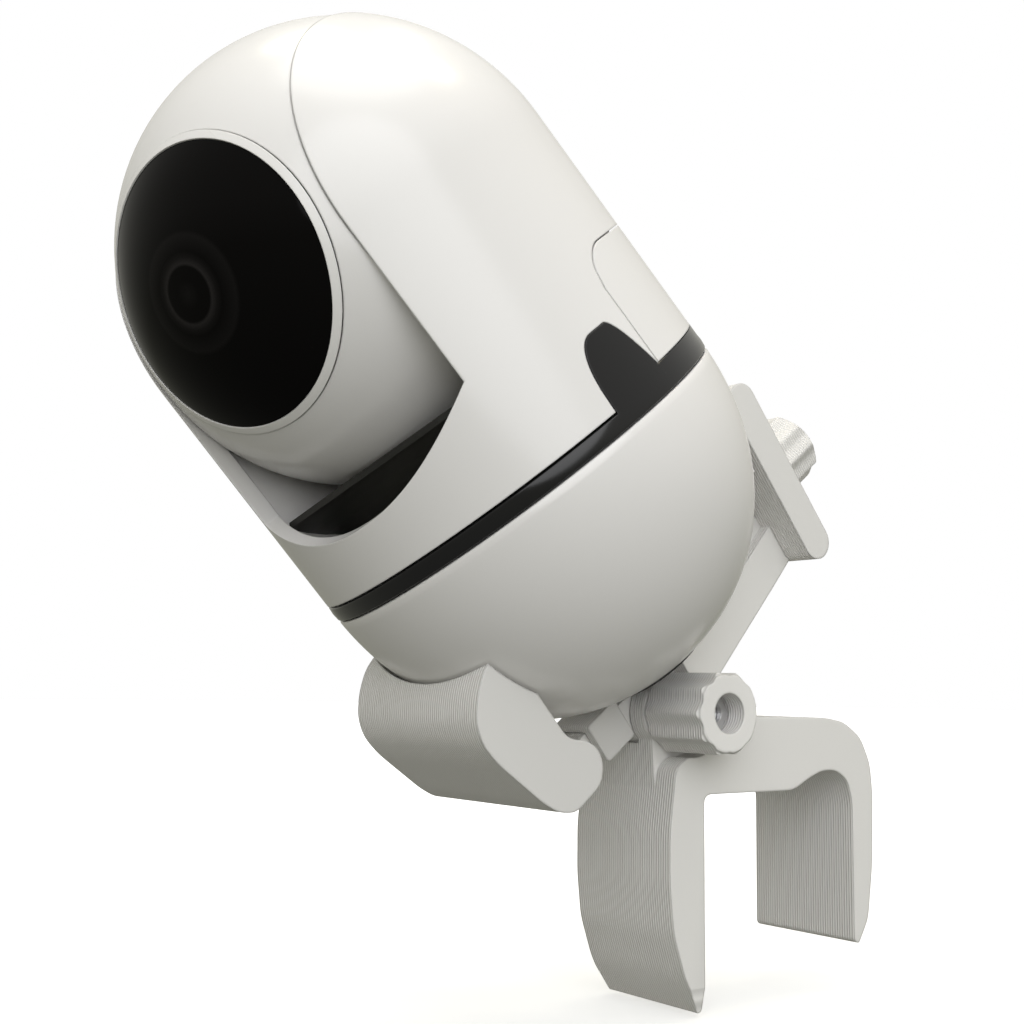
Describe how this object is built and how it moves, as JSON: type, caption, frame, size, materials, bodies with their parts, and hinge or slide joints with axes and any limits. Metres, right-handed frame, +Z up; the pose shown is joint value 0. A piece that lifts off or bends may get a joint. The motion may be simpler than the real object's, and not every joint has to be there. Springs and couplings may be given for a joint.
{
  "type": "baby monitor camera",
  "caption": "Capsule-shaped pan and tilt monitor camera with a round black face, clamped in a printed tilting cradle with a hook clip for a crib rail.",
  "frame": {"origin": "on the clip's flat seat, midway across the crib rail that it rests on", "axes": "+X along the rail, -Y into the crib, +Z up"},
  "size_m": [0.0802, 0.134, 0.1532],
  "materials": {
    "white_shell": "gloss moulded shell",
    "white_trim": "satin rim",
    "white_print": "layered print",
    "black_gloss": "high gloss",
    "black_liner": "matt",
    "lens_glass": "coated glass",
    "steel": "plated",
    "brass": "turned",
    "board_green": "circuit board",
    "gear_nylon": "nylon",
    "rubber": "soft"
  },
  "bodies": {
    "clip": {"rail_clip": "white_print"},
    "pivot_screw": {"pivot_bolt": "steel", "pivot_knob": "white_print", "pivot_nut": "steel"},
    "cradle": {"cradle_frame": "white_print"},
    "front_jaw": {"front_jaw": "white_print"},
    "jaw_screw": {"jaw_screw": "steel", "jaw_knob": "white_print", "jaw_nut": "steel"},
    "pad": {"pressure_pad": "white_print"},
    "camera_base": {"base_shell": "white_shell", "bottom_cap": "white_shell", "foot_pad": "rubber", "usb_socket": "steel", "main_board": "board_green", "speaker": "black_liner", "pan_motor": "steel", "pan_spindle": "steel"},
    "reset_button": {"reset_button": "black_liner"},
    "camera_body": {"upper_shell": "white_shell", "rear_panel": "white_shell", "accent_ring": "black_gloss", "pan_turntable": "gear_nylon", "pan_gear": "gear_nylon", "tilt_motor": "steel", "head_well_liner": "black_liner", "wifi_antenna": "board_green"},
    "pan_pinion": {"pan_pinion": "brass"},
    "tilt_pinion": {"tilt_pinion": "brass"},
    "camera_head": {"head_front_shell": "white_shell", "head_rear_shell": "white_shell", "face_window": "black_gloss", "face_trim_ring": "white_trim", "ir_led_board": "board_green", "lens_barrel": "black_liner", "lens_front_element": "lens_glass", "image_sensor_board": "board_green", "tilt_axle_left": "steel", "tilt_axle_right": "steel", "tilt_gear": "gear_nylon"}
  },
  "joints": [
    {"name": "pivot_screw_turn", "type": "hinge", "parent": "clip", "child": "pivot_screw", "pos_m": [0, -0.0205, 0.0132], "axis": [1, 0, 0], "continuous": true},
    {"name": "cradle_tilt", "type": "hinge", "parent": "clip", "child": "cradle", "pos_m": [0, -0.0205, 0.0132], "axis": [1, 0, 0], "range_deg": [-25, 14]},
    {"name": "front_jaw_slide", "type": "slide", "parent": "cradle", "child": "front_jaw", "axis": [0, -0.7826, -0.6225], "range_m": [0, 0.006]},
    {"name": "jaw_screw_turn", "type": "hinge", "parent": "pad", "child": "jaw_screw", "pos_m": [0, 0.00481, 0.05416], "axis": [0, 0.7826, 0.6225], "range_deg": [0, 722]},
    {"name": "pad_slide", "type": "slide", "parent": "cradle", "child": "pad", "axis": [0, 0.7826, 0.6225], "range_m": [0, 0.001]},
    {"name": "camera_lift_out", "type": "slide", "parent": "cradle", "child": "camera_base", "axis": [-0.1908, -0.6111, 0.7682], "range_m": [0, 0.06]},
    {"name": "reset_press", "type": "slide", "parent": "camera_base", "child": "reset_button", "axis": [0.6568, 0.5021, 0.5625], "range_m": [0, 0.0006], "stiffness_N_per_m": 400, "springref_m": -0.0003},
    {"name": "pan", "type": "hinge", "parent": "camera_base", "child": "camera_body", "pos_m": [0.001, -0.04898, 0.05061], "axis": [-0.1908, -0.6111, 0.7682], "range_deg": [-175, 175]},
    {"name": "pan_pinion_spin", "type": "hinge", "parent": "camera_base", "child": "pan_pinion", "pos_m": [-0.00457, -0.02957, 0.05658], "axis": [-0.1908, -0.6111, 0.7682], "range_deg": [-701, 701]},
    {"name": "head_tilt", "type": "hinge", "parent": "camera_body", "child": "camera_head", "pos_m": [-0.00711, -0.07495, 0.08325], "axis": [0.9224, 0.156, 0.3532], "range_deg": [-55, 30]},
    {"name": "tilt_pinion_spin", "type": "hinge", "parent": "camera_body", "child": "tilt_pinion", "pos_m": [0.01884, -0.06459, 0.08453], "axis": [0.9224, 0.156, 0.3532], "range_deg": [-73, 133]}
  ],
  "couplings": [
    {"joint": "jaw_screw_turn", "follows": "pad_slide", "rad_per_m": 12566},
    {"joint": "pan_pinion_spin", "follows": "pan", "ratio": -4},
    {"joint": "tilt_pinion_spin", "follows": "head_tilt", "ratio": -2.4}
  ]
}
